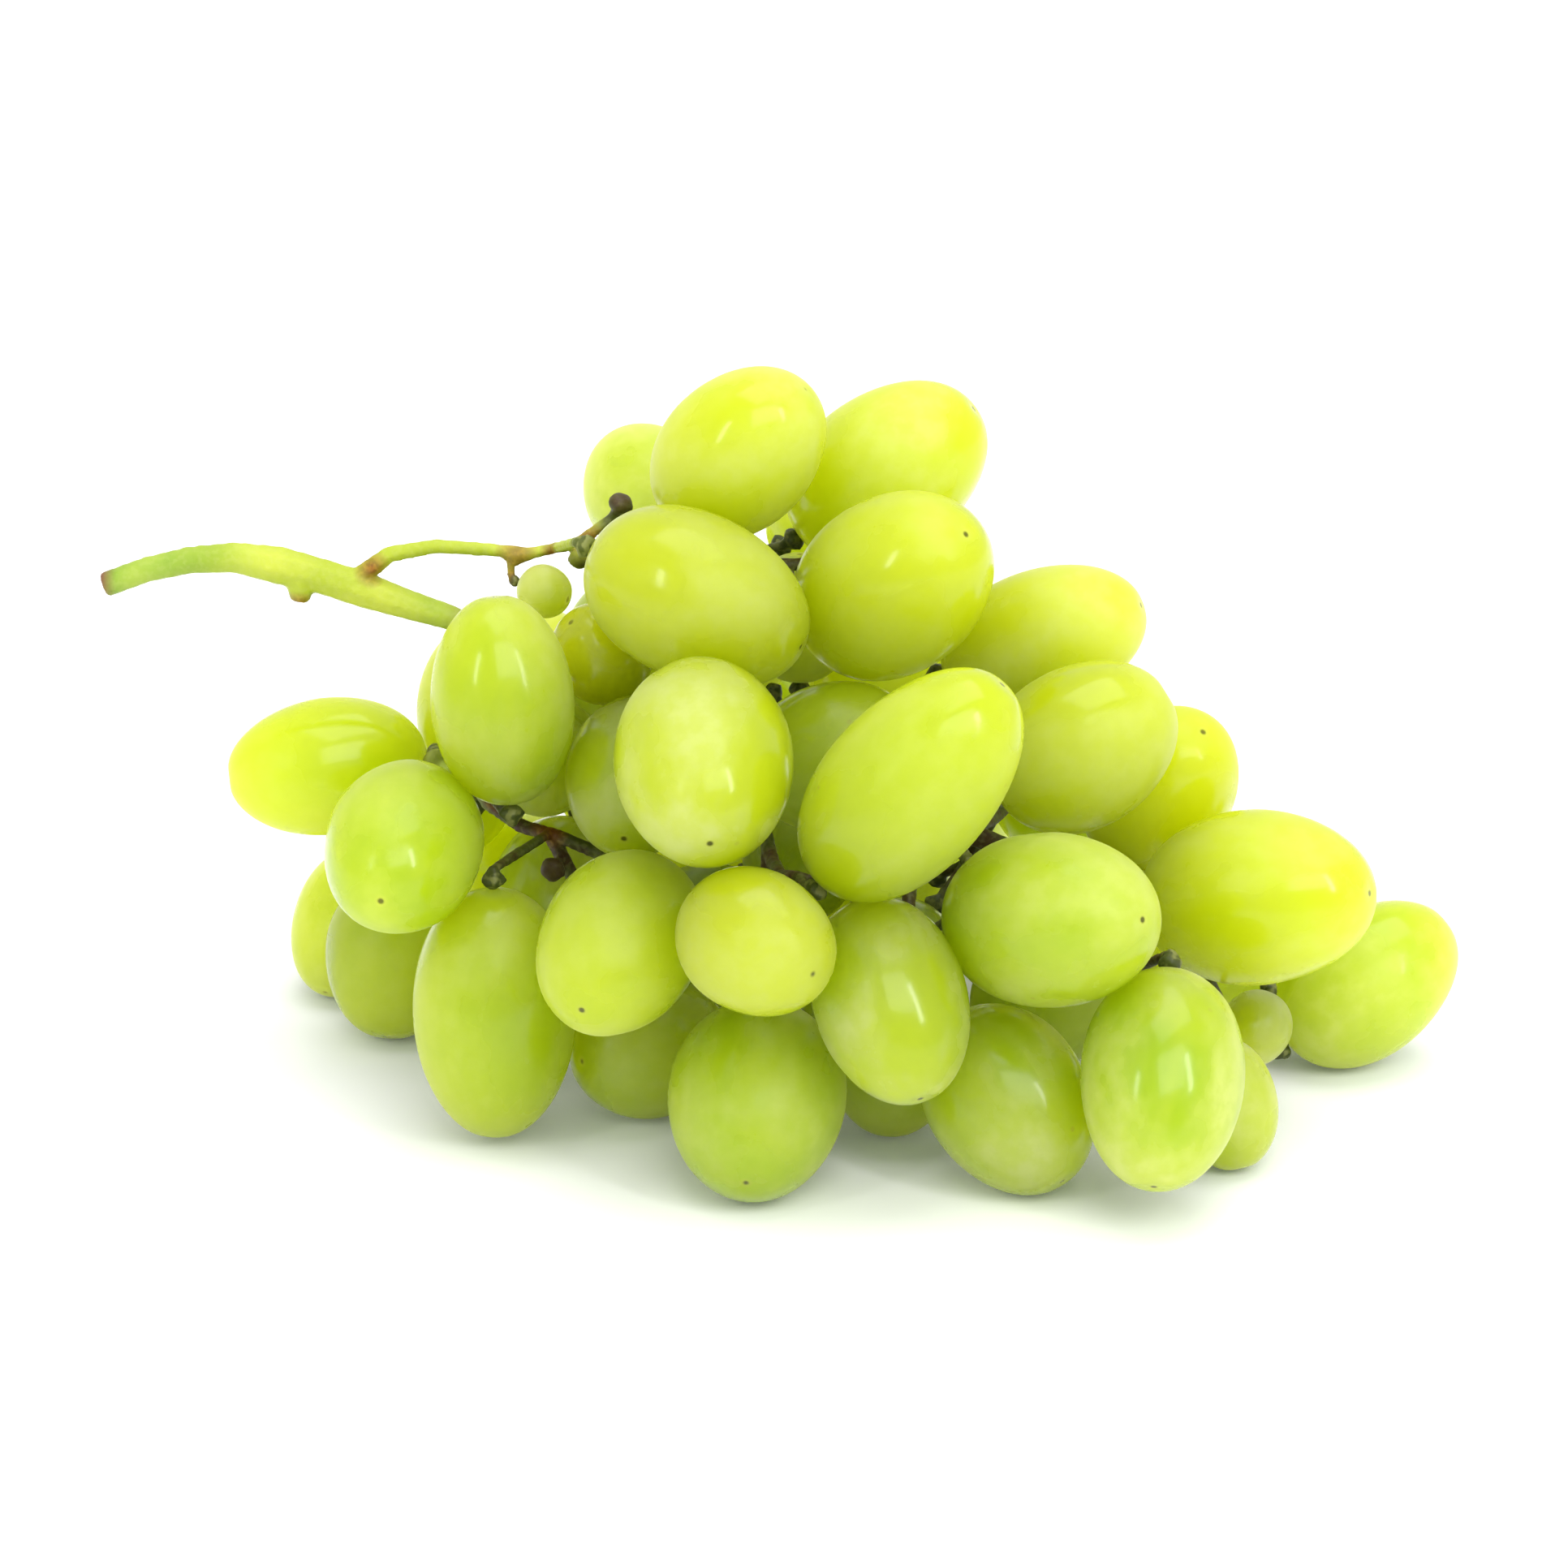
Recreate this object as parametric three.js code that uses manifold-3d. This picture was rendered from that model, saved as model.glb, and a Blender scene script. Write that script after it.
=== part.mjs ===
// A bunch of large green table grapes, cut from the vine and lying on its side on a flat surface.
// The stalk is one woody piece: the peduncle with its cut end, the rachis that runs through the
// bunch, the laterals that leave it, and one pedicel for each berry. Every berry is a piece of its
// own and sits against the swollen end of its pedicel.
// Units are millimetres. +X runs from the cut end to the tip of the bunch, +Y to its back, +Z up.
import * as THREE from "three";
import { mergeVertices } from "three/addons/utils/BufferGeometryUtils.js";
import Module from "manifold-3d";

const wasm = await Module();
wasm.setup();

// Room between solids.
const GAP = 0.35; // between a berry and the stalk
const SETTLE_GAP = 0.6; // between berries, once they have settled
const LYING_BELOW = 1.5; // a berry that hangs no higher than this lies on the surface

// Thickness of the stalk, as radii.
const PEDUNCLE_R = 1.6;
const FORK_R = 2.4; // where the wing leaves the rachis
const RACHIS_R = 1.6;
const RACHIS_TIP_R = 1.0;
const LATERAL_BASE_R = 1.05;
const LATERAL_R = 0.85;
const PEDICEL_R = 0.65;
const THINNEST_PEDICEL_R = 0.5;
const TORUS_R = 1.8; // the swollen end of a pedicel, which holds the berry
const TORUS_LENGTH = 2.0;
const FULL_BERRY_R = 8; // a berry thinner than this hangs on a thinner pedicel

// A berry is a little fuller near its stalk than near its blossom scar. Its round surface runs
// midway between the corners and the flats of the solid, so the corners stand out a little.
const FULLNESS = 0.05;
const CORNERS_OUT = 1.012;

// Fineness of the meshes.
const BERRY_SIDES = 12;
const BERRY_ROWS = 8;
const RACHIS_SIDES = 8;
const TWIG_SIDES = 5;
const BRANCH_STEP = 6; // length of one straight piece of a branch
const PEDICEL_STEP = 4.5;

// The rachis, from the cut end to the tip of the bunch: [x, y, z, radius].
const RACHIS = [
  [-90, 50, 67, PEDUNCLE_R],
  [-82, 50, 69.8, PEDUNCLE_R],
  [-73, 50, 70.8, 1.95],
  [-66, 50, 69.5, 2.6],
  [-61, 50, 68.1, 2.3],
  [-56, 50, 66.4, FORK_R],
  [-51, 50, 64.6, 2],
  [-44, 50, 62.3, RACHIS_R],
  [-34, 49, 57.5, RACHIS_R],
  [-22, 49, 51.5, RACHIS_R],
  [-6, 48, 45, RACHIS_R],
  [10, 47, 39, 1.5],
  [29, 46, 31.5, 1.4],
  [46, 45, 24, 1.2],
  [59, 44, 18, RACHIS_TIP_R],
];

// The scar that a tendril left on the underside of the peduncle.
const TENDRIL_SCAR = [
  [-64.4, 50, 69, 2.3],
  [-63.9, 49.6, 66.7, 1.9],
  [-64.2, 49.4, 65, 1.1],
];

// The laterals. Each has one or more twigs, as the points that they pass through, and its berries.
// A berry is [x, y, z, length, width, heading, rise]: its middle, its size, and the way that its
// blossom scar points, in degrees round from +X towards +Y and in degrees above level. One without
// the last two points straight away from its twig. Stumps are pedicels that have lost their berry,
// as [x, y, z] of their ends.
const LATERALS = {
  wing: {
    twigs: [
      [
        [-57, 50, 67.5, 1.5],
        [-54, 50, 70.4, 1.2],
        [-50, 50, 71.9, 1],
        [-43, 50, 72.4, 0.9],
        [-35, 50, 71.3, 0.8],
        [-28, 51, 72.2, 0.65],
        [-22.5, 52.6, 75.5, 0.8],
      ],
      [[-37.4, 50, 71.7, 0.8], [-35.4, 50, 71.1, 1.4], [-33.4, 50, 71.2, 0.7]],
      [[-28, 51, 72.2], [-20, 54, 70.5], [-8, 56, 68], [3, 59, 67]],
      [[-8, 56, 68], [-6, 66, 66], [-2, 74, 63]],
    ],
    berries: [
      [-31.4, 47, 66.8, 7.4, 7.1, -25, -10],
      [-12, 34, 69.6, 31, 22, -23, -18],
      [-5.9, 50, 85.2, 27, 20.5, -14, 46],
      [-18.2, 73, 72.5, 24, 18, 112, 14],
      [13.8, 62, 79.1, 29.6, 21.7, -5, 38],
      [14, 38, 69.2, 31, 23, -42, 38],
      [7.5, 85, 64.5, 23, 17.5],
    ],
    stumps: [[-26.8, 49.5, 70.3], [-21.4, 51.6, 78.2]],
  },
  left: {
    twigs: [
      [[-38.2, 49.4, 59.5], [-41, 47, 52], [-42.5, 46, 43], [-44, 49, 36], [-47, 55, 31]],
      [[-44, 49, 36], [-45, 49, 31], [-47, 54, 28], [-50, 61, 27]],
    ],
    berries: [
      [-61.4, 52, 40.6, 27, 18.5, -172, -4],
      [-47.8, 21.5, 40, 28, 20.3, -98, -9],
      [-36.5, 30, 57, 27.5, 18.5, 110, 78],
      [-41.5, 62, 45.5, 23, 17, 90, 70],
      [-53.6, 57.6, 11, 23, 19, -100, -60],
      [-61.3, 73.8, 9.4, 22.5, 15.5, -110, -45],
      [-46.5, 79, 27, 24, 18.5],
    ],
    stumps: [[-47.5, 50, 42.5]],
  },
  front_left: {
    twigs: [
      [[-42.5, 46, 43], [-37.5, 42, 37], [-31, 38.5, 36.2], [-24, 36, 34]],
      [[-31, 38.5, 36.2], [-27.5, 38, 29], [-24, 38, 22]],
      [[-29, 49, 55], [-29, 51, 55.4], [-29, 53, 55]],
      [[-17, 48.7, 49.5], [-18, 46.5, 50.5], [-19.5, 46.3, 53]],
    ],
    berries: [
      [-37.3, 21.4, 18.4, 33.3, 21.4, -90, -82],
      [-31, 48, 22, 25, 19, -110, -50],
      [-21, 8, 32.5, 28.5, 20.5, -109, -16],
      [-19.3, 28, 9.5, 23, 19, -142, 5],
      [-20.5, 31, 47, 25, 18, -95, -20],
      [-31.5, 45, 44, 21, 15, -100, 0],
      [-24.2, 43.5, 60, 14.2, 13, -147, 48],
    ],
    stumps: [[-30.7, 34, 32.5]],
  },
  front: {
    twigs: [
      [[-6, 48, 45], [-3.5, 38, 42], [-2, 28, 38], [-0.5, 18, 38], [2, 12, 40]],
      [[-2, 28, 38], [-2, 22, 31], [-2.5, 18, 25]],
      [[-12, 48.3, 47.5], [-9, 40, 52], [-9, 31, 56.5]],
    ],
    berries: [
      [-10, 9, 56, 31, 22.5, -86, -21],
      [-3.5, -5, 38.5, 22.5, 18.7, -50, -5],
      [-3.5, 5.5, 12, 28.5, 23, -96, -25],
      [16, 3, 56, 35, 21.5, -1, 50],
      [13.5, 0, 28, 27.5, 19.5, -67, -46],
      [5.5, 34, 49.2, 23, 19, -10, 25],
    ],
    stumps: [[2, 9, 36.5]],
  },
  front_right: {
    twigs: [
      [[14, 47, 37.5], [18, 39, 37.5], [22, 29, 38.5], [24, 20, 39]],
      [[18, 39, 37.5], [16.5, 31, 31], [16, 23, 25]],
      [[22, 46.5, 34.5], [24, 43, 44], [23, 44, 52]],
    ],
    berries: [
      [34, 4.5, 36.9, 31.3, 22.5, -44, 15],
      [38.7, 28, 52.2, 26, 21, 8, 31],
      [29.1, 6.8, 11.8, 26.5, 21, -48, -39],
      [15, 22, 11.5, 23, 18],
      [34.4, 48, 60.2, 28.6, 18.6, -12, 23],
    ],
    stumps: [[24.5, 17, 38.5]],
  },
  right: {
    twigs: [
      [[33, 45.7, 29.7], [38.5, 38, 29.5], [43.5, 30, 28]],
      [[38.5, 38, 29.5], [40, 33, 23], [42, 25, 20]],
      [[40, 45.5, 26.5], [43, 50, 26]],
    ],
    berries: [
      [61.9, 26, 31.9, 32, 23, -27, 12],
      [50.3, 46, 39.8, 27, 19.5, -54, 51],
      [46.8, -2.2, 18.2, 29.2, 20.8, -98, -47],
      [35, 41, 10, 26, 19.5],
    ],
    stumps: [],
  },
  tip: {
    twigs: [
      [[52, 44.5, 21.2], [59, 44, 18], [64.5, 45, 15]],
      [[52, 44.5, 21.2], [56, 38, 17], [58, 33, 14]],
      [[46, 45, 24], [50, 52, 25]],
    ],
    berries: [
      [78.7, 47.3, 10.6, 27.5, 19.7, 20, 32],
      [62.5, 33.5, 10.5, 10.5, 9.5, -118, -37],
      [57.4, 12.3, 7.4, 17.5, 13.2, -60, -65],
      [62.3, 61.5, 12, 25, 19],
      [50, 64, 27, 19, 15],
    ],
    stumps: [],
  },
  back_left: {
    twigs: [
      [[-18, 48.8, 49.9], [-19, 56, 45], [-21, 64, 39], [-23, 72, 34]],
      [[-21, 64, 39], [-24, 68, 30], [-26, 73, 23]],
    ],
    berries: [
      [-21.5, 64, 53, 25.5, 18.5, -78, 55],
      [-33, 65, 10, 27, 19.5],
      [-38, 85.5, 11, 26, 19.5],
      [-22, 91, 27, 27, 20.5],
      [-31, 80, 42, 25, 19],
    ],
    stumps: [],
  },
  back: {
    twigs: [
      [[-1, 47.7, 43.1], [2, 57, 40], [3, 66, 37], [3, 74, 36]],
      [[3, 66, 37], [1, 70, 29], [-1, 72, 22]],
    ],
    berries: [
      [-12, 59, 10.5, 27, 20],
      [-10, 83, 11, 27, 20.5],
      [-1, 94, 30, 28, 21],
      [-9, 88, 51, 27, 20],
      [12, 74, 46.5, 26, 19],
      [21, 90, 21, 28, 21],
      [1.5, 60, 24, 20, 16],
      [3, 72, 57, 18, 15],
    ],
    stumps: [],
  },
  back_right: {
    twigs: [
      [[24, 46.3, 33.6], [28, 56, 31.5], [30, 64, 30], [33, 70, 31]],
      [[28, 56, 31.5], [26, 60, 26], [25, 62, 23]],
    ],
    berries: [
      [13, 48, 10.5, 26, 20],
      [13, 73, 10.5, 26, 20],
      [42, 62, 10.5, 27, 20],
      [39, 80, 27, 27, 20.5],
      [36, 66, 48, 26, 20],
    ],
    stumps: [],
  },
};

const vec = (x, y, z) => new THREE.Vector3(x, y, z);

// The unit vector along a heading and a rise, in degrees.
function pointing(heading, rise) {
  const h = THREE.MathUtils.degToRad(heading);
  const r = THREE.MathUtils.degToRad(rise);
  return vec(Math.cos(h) * Math.cos(r), Math.sin(h) * Math.cos(r), Math.sin(r));
}

// The one of a list of points that lies nearest to a place.
function nearestOf(points, place) {
  return points.reduce((best, at) => (at.distanceTo(place) < best.distanceTo(place) ? at : best));
}

// The point nearest to a place anywhere along a lateral's twigs.
function nearestOn(twigs, place) {
  const pieces = twigs.flatMap((path) =>
    path.slice(1).map(({ at }, i) => new THREE.Line3(path[i].at, at)),
  );
  return nearestOf(
    pieces.map((piece) => piece.closestPointToPoint(place, true, new THREE.Vector3())),
    place,
  );
}

// A smooth path through [x, y, z, radius] rows, as evenly spaced { at, radius } points.
function branch(rows, step) {
  const curve = new THREE.CatmullRomCurve3(rows.map(([x, y, z]) => vec(x, y, z)), false, "centripetal");
  const pieces = Math.max(2, Math.round(curve.getLength() / step));
  return Array.from({ length: pieces + 1 }, (_, i) => {
    const t = curve.getUtoTmapping(i / pieces);
    const row = Math.min(Math.floor(t * (rows.length - 1)), rows.length - 2);
    const radius = THREE.MathUtils.lerp(rows[row][3], rows[row + 1][3], t * (rows.length - 1) - row);
    return { at: curve.getPoint(t), radius };
  });
}

// A twig thins evenly from its foot to its end, unless its points give their own radius.
function twig(points) {
  const radius = (i) => THREE.MathUtils.lerp(LATERAL_BASE_R, LATERAL_R, i / (points.length - 1));
  return branch(points.map(([x, y, z, own], i) => [x, y, z, own ?? radius(i)]), BRANCH_STEP);
}

// The closed surface of a berry about its own middle, blossom scar towards +Z.
function berryGeometry(long, short) {
  const profile = Array.from({ length: BERRY_ROWS + 1 }, (_, i) => {
    const towardsStalk = Math.cos((i / BERRY_ROWS) * Math.PI);
    const across = short * Math.sin((i / BERRY_ROWS) * Math.PI) * (1 + FULLNESS * towardsStalk);
    return new THREE.Vector2(i % BERRY_ROWS ? across : 0, -long * towardsStalk);
  });
  const round = new THREE.LatheGeometry(profile, BERRY_SIDES).rotateX(Math.PI / 2);
  return closedUp(round.scale(CORNERS_OUT, CORNERS_OUT, CORNERS_OUT));
}

// Joins the shared corners of a geometry, so that it is one closed surface.
function closedUp(geometry) {
  geometry.deleteAttribute("normal");
  geometry.deleteAttribute("uv");
  return mergeVertices(geometry, 1e-4);
}

function makeBerry(name, lateral, [x, y, z, length, width, heading, rise]) {
  const middle = vec(x, y, z);
  const away = middle.clone().sub(nearestOn(lateral, middle)).normalize();
  return {
    name,
    lateral,
    middle,
    axis: heading === undefined ? away : pointing(heading, rise),
    long: length / 2,
    short: width / 2,
    geometry: berryGeometry(length / 2, width / 2),
  };
}

// Turns a berry's own geometry to its axis and moves it to its middle.
function placement({ middle, axis }) {
  const turn = new THREE.Quaternion().setFromUnitVectors(vec(0, 0, 1), axis);
  return new THREE.Matrix4().compose(middle, turn, vec(1, 1, 1));
}

// The height of a berry's lowest corner.
function lowestOf(berry) {
  const placed = berry.geometry.clone().applyMatrix4(placement(berry));
  placed.computeBoundingBox();
  return placed.boundingBox.min.z;
}

// Balls strung along a berry's axis that fill it from inside, and stand for it while it settles.
function ballsIn({ middle, axis, long, short }) {
  const reach = (long * long - short * short) / long;
  return [-1, -0.5, 0, 0.5, 1].map((share) => ({
    at: middle.clone().addScaledVector(axis, share * reach),
    radius: short * Math.sqrt(1 - (share * share * reach) / long),
  }));
}

// The push, on the second of two lists of balls, that takes the nearest pair a share of the way
// to their proper distance, or null where they are clear of each other.
function pushBetween(first, second) {
  const pushShare = 0.35;
  let least = SETTLE_GAP;
  let push = null;
  for (const a of first)
    for (const b of second) {
      const gap = a.at.distanceTo(b.at) - a.radius - b.radius;
      if (gap >= least) continue;
      least = gap;
      push = b.at.clone().sub(a.at).setLength(pushShare * (SETTLE_GAP - gap));
    }
  return push;
}

// Presses the berries apart and off the branches until none overlap. The low ones lie on the surface.
function settle(berries, branches) {
  const rounds = 200;
  const lying = berries.filter((berry) => lowestOf(berry) < LYING_BELOW);
  for (let round = 0; round < rounds; round++) {
    berries.forEach((berry, i) => {
      for (const other of berries.slice(i + 1)) {
        if (berry.middle.distanceTo(other.middle) > berry.long + other.long + SETTLE_GAP) continue;
        const push = pushBetween(ballsIn(berry), ballsIn(other));
        if (!push) continue;
        berry.middle.sub(push);
        other.middle.add(push);
      }
      const offBranch = pushBetween(branches, ballsIn(berry));
      if (offBranch) berry.middle.add(offBranch);
    });
    for (const berry of lying) berry.middle.z -= lowestOf(berry);
  }
}

// Moves the inner points of a path out of the berries, and keeps the path smooth.
function threadBetween(path, berries) {
  const rounds = 60;
  const smoothing = 0.25;
  for (let round = 0; round < rounds; round++)
    for (let i = 1; i < path.length - 1; i++) {
      const { at, radius } = path[i];
      at.lerp(path[i - 1].at.clone().add(path[i + 1].at).multiplyScalar(0.5), smoothing);
      for (const { middle, axis, long, short } of berries) {
        const room = radius + GAP;
        const off = at.clone().sub(middle);
        const along = off.dot(axis);
        const across = off.clone().addScaledVector(axis, -along);
        const level = Math.hypot(along / (long + room), across.length() / (short + room));
        if (level >= 1) continue;
        const out = across.divideScalar(short ** 2).addScaledVector(axis, along / long ** 2);
        at.addScaledVector(out.normalize(), (1 - level) * (short + room));
      }
    }
}

// A pedicel from the nearest place on a lateral to a foot, which it reaches along `axis`, with
// its torus.
function pedicel(lateral, foot, axis, size, berries) {
  const neck = foot.clone().addScaledVector(axis, -TORUS_LENGTH * size);
  const bend = neck.clone().addScaledVector(axis, -3 * size);
  const start = nearestOn(lateral, bend);
  const curve = new THREE.CubicBezierCurve3(start, start.clone().lerp(bend, 0.5), bend, neck);
  const pieces = Math.max(2, Math.round(curve.getLength() / PEDICEL_STEP));
  const radius = Math.max(PEDICEL_R * size, THINNEST_PEDICEL_R);
  const path = curve.getSpacedPoints(pieces).map((at) => ({ at, radius }));
  threadBetween(path, berries);
  path.push({ at: neck.clone().lerp(foot, 0.7), radius: TORUS_R * size });
  path.push({ at: foot, radius: TORUS_R * size * 0.75 });
  return path;
}

// A curve through points that gives each point an equal share of its length.
class PointByPoint extends THREE.CatmullRomCurve3 {
  getPointAt(share) {
    return this.getPoint(share);
  }
  getTangentAt(share) {
    return this.getTangent(share);
  }
}

// The closed tube round a path: a fine thread drawn along it, then fattened ring by ring to each
// point's radius and `extra` more.
function tubeSolid(path, sides, extra = 0) {
  const threadR = 0.05;
  const section = new THREE.Shape(
    Array.from({ length: sides }, (_, i) => {
      const turn = (i / sides) * 2 * Math.PI;
      return new THREE.Vector2(threadR * Math.cos(turn), threadR * Math.sin(turn));
    }),
  );
  const tube = new THREE.ExtrudeGeometry(section, {
    steps: path.length - 1,
    bevelEnabled: false,
    extrudePath: new PointByPoint(path.map(({ at }) => at)),
  });
  const corners = tube.getAttribute("position");
  const corner = new THREE.Vector3();
  const rings = path.map(({ at }) => at);
  for (let i = 0; i < corners.count; i++) {
    corner.fromBufferAttribute(corners, i);
    const centre = nearestOf(rings, corner);
    const { radius } = path[rings.indexOf(centre)];
    corner.sub(centre).setLength(radius + extra).add(centre);
    corners.setXYZ(i, corner.x, corner.y, corner.z);
  }
  return solidOf(closedUp(tube));
}

function solidOf(geometry) {
  const vertProperties = geometry.getAttribute("position").array;
  const triVerts = new Uint32Array(geometry.index.array);
  return new wasm.Manifold(new wasm.Mesh({ numProp: 3, vertProperties, triVerts }));
}

function geometryOf(solid) {
  const { vertProperties, triVerts } = solid.getMesh();
  return new THREE.BufferGeometry()
    .setAttribute("position", new THREE.BufferAttribute(vertProperties, 3))
    .setIndex(new THREE.BufferAttribute(triVerts, 1));
}

// A berry that presses on the stalk is dented by it.
function dentedBy(room, berry) {
  const whole = solidOf(berry.geometry);
  const dented = whole.subtract(room.transform(placement(berry).invert().toArray()));
  return whole.volume() - dented.volume() > 1e-3 ? geometryOf(dented) : berry.geometry;
}

// Lay out the branches, and let the berries settle round them.
const rachis = branch(RACHIS, BRANCH_STEP);
const scar = branch(TENDRIL_SCAR, BRANCH_STEP);
const twigs = [];
const berries = [];
const bareEnds = [];
for (const [name, lateral] of Object.entries(LATERALS)) {
  const ownTwigs = lateral.twigs.map(twig);
  twigs.push(...ownTwigs);
  berries.push(...lateral.berries.map((row, i) => makeBerry(`${name}_berry_${i + 1}`, ownTwigs, row)));
  bareEnds.push(...lateral.stumps.map((end) => ({ lateral: ownTwigs, foot: vec(...end) })));
}
settle(berries, [...rachis, ...twigs.flat()]);

// Thread a pedicel to every berry, and leave the stumps bare.
const pedicels = berries.map(({ lateral, middle, axis, long, short }) => {
  const foot = middle.clone().addScaledVector(axis, -(long * CORNERS_OUT + GAP));
  return pedicel(lateral, foot, axis, Math.min(1, short / FULL_BERRY_R), berries);
});
const stumps = bareEnds.map(({ lateral, foot }) => {
  const axis = foot.clone().sub(nearestOn(lateral, foot)).normalize();
  return pedicel(lateral, foot, axis, 0.9, berries);
});

// Grow the stalk together as one piece.
function stalkSolid(extra) {
  const thin = [...twigs, ...pedicels, ...stumps].map((path) => tubeSolid(path, TWIG_SIDES, extra));
  const thick = [rachis, scar].map((path) => tubeSolid(path, RACHIS_SIDES, extra));
  const grown = wasm.Manifold.union([...thick, ...thin]);
  // Its outer surface alone, without the pockets that close up where pedicels meet.
  return grown.decompose().reduce((most, shell) => (shell.volume() > most.volume() ? shell : most));
}

const berryMaterial = new THREE.MeshStandardMaterial({ color: 0xb9cf3a, roughness: 0.32, metalness: 0 });
const stalkMaterial = new THREE.MeshStandardMaterial({ color: 0xa3b648, roughness: 0.6, metalness: 0 });

const bunch = new THREE.Group();
const stalkMesh = new THREE.Mesh(geometryOf(stalkSolid(0)), stalkMaterial);
stalkMesh.name = "stalk";
bunch.add(stalkMesh);

const stalkRoom = stalkSolid(GAP);
for (const berry of berries) {
  const mesh = new THREE.Mesh(dentedBy(stalkRoom, berry), berryMaterial);
  mesh.name = berry.name;
  mesh.applyMatrix4(placement(berry));
  bunch.add(mesh);
}

// The origin is the middle of the bunch's footprint, on the surface that it lies on.
const extent = new THREE.Box3().setFromObject(bunch, true);
const centre = extent.getCenter(new THREE.Vector3());
bunch.position.set(-centre.x, -centre.y, -extent.min.z);

export default bunch;
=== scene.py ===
import math

import bpy
import numpy as np
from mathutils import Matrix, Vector


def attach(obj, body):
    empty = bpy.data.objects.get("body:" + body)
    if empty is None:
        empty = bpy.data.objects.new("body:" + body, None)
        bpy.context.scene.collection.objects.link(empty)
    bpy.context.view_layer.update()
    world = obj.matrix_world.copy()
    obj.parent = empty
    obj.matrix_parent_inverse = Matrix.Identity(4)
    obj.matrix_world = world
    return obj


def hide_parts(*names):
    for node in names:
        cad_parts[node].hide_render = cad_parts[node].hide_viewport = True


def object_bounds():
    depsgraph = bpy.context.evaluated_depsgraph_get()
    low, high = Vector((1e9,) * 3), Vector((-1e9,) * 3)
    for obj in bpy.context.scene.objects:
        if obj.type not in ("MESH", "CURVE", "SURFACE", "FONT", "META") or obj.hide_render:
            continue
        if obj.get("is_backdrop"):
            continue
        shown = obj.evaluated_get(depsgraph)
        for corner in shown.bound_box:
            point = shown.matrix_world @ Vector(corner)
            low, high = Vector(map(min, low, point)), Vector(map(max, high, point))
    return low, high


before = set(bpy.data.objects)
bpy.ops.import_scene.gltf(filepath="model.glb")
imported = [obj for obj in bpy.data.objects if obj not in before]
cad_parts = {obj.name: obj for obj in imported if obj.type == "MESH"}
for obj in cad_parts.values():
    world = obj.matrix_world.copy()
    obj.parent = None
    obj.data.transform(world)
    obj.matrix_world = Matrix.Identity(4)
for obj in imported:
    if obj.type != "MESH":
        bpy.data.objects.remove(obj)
CAD_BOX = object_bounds()

# ---------------------------------------------------------------------------------------------
# Berries
# Each berry is one oval fruit under a taut, thin skin with a waxy bloom. It hangs by its stalk
# end from a pedicel, and carries a pinpoint brown scar, left by the flower, at the other end.
# ---------------------------------------------------------------------------------------------
MM = 0.001
EDGE = 0.02 * MM  # every skin, and the bark, stays this far inside the box round the whole bunch

BERRY_TURNS = 56  # faces round a berry
BERRY_ROWS = 44  # rows of faces from its stalk to its scar
ROW_CROWDING = 0.35  # how much closer the rows stand at its ends than midway
FULLNESS = 0.05  # how much fuller a berry is near its stalk
BLUNTNESS = 0.94  # under 1, its ends are rounder than an ellipse's
SKIN_FIT = 0.988  # the smooth skin runs midway between the solid's corners and its flats
SCAR_DIMPLE = (0.25 * MM, 1.5 * MM)  # depth and width of the dimple round the scar

# What differs from berry to berry is drawn at random between two ends. Heights and depths are
# shares of a berry's half width, and the rest are angles in radians.
ANY_TURN = (0, 6.28)
WAVES = ((1, 1), (2, 1), (2, 2), (3, 2), (4, 3))  # crests round a berry, and slopes along it
WAVE_HEIGHT = (0.003, 0.012)
DENTS = (0, 4)  # how many, up to one less than the second
DENT_PLACE = (0.7, 2.4)  # between its stalk, at 0, and its scar, at pi
DENT_TALL = (0.25, 0.6)
DENT_WIDE = (0.12, 0.22)
DENT_DEPTH = (0.012, 0.026)


def vertex_vectors(mesh, field="co"):
    """The places, or the normals, of a mesh's vertices, one to a row."""
    values = np.empty(len(mesh.vertices) * 3)
    mesh.vertices.foreach_get(field, values)
    return values.reshape(-1, 3)


def berry_measures(node, stalk_corners):
    """The stalk end, the scar end and the half width of a berry's solid. Its ends are the two
    corners farthest from each other, and the stalk end is the one that is nearer to the stalk."""
    corners = vertex_vectors(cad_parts[node].data)
    spans = np.linalg.norm(corners[:, None] - corners[None], axis=2)
    ends = corners[list(np.unravel_index(spans.argmax(), spans.shape))]
    reach = np.linalg.norm(ends[:, None] - stalk_corners[None], axis=2).min(axis=1)
    stalk_end, scar_end = ends[np.argsort(reach)]
    along = (scar_end - stalk_end) / np.linalg.norm(scar_end - stalk_end)
    off = corners - stalk_end
    across = off - np.outer(off @ along, along)
    return stalk_end, scar_end, np.linalg.norm(across, axis=1).max()


def across_frame(along):
    """Two unit vectors that stand across a direction and across each other."""
    helper = np.eye(3)[np.abs(along).argmin()]
    first = np.cross(along, helper)
    first /= np.linalg.norm(first)
    return first, np.cross(along, first)


def grid_mesh(name, points, start, end):
    """A closed surface: rows of points joined ring to ring, with one point more at each end."""
    rows, turns = points.shape[:2]
    ring = np.arange(rows * turns).reshape(rows, turns)
    after = np.roll(ring, -1, axis=1)
    quads = np.stack([ring[:-1], after[:-1], after[1:], ring[1:]], axis=2).reshape(-1, 4)
    first, last = rows * turns, rows * turns + 1
    caps = [[first, b, a] for a, b in zip(ring[0], after[0])]
    caps += [[last, a, b] for a, b in zip(ring[-1], after[-1])]
    mesh = bpy.data.meshes.new(name)
    mesh.from_pydata(np.vstack([points.reshape(-1, 3), start, end]), [], quads.tolist() + caps)
    mesh.polygons.foreach_set("use_smooth", np.ones(len(mesh.polygons), bool))
    return mesh


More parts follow.
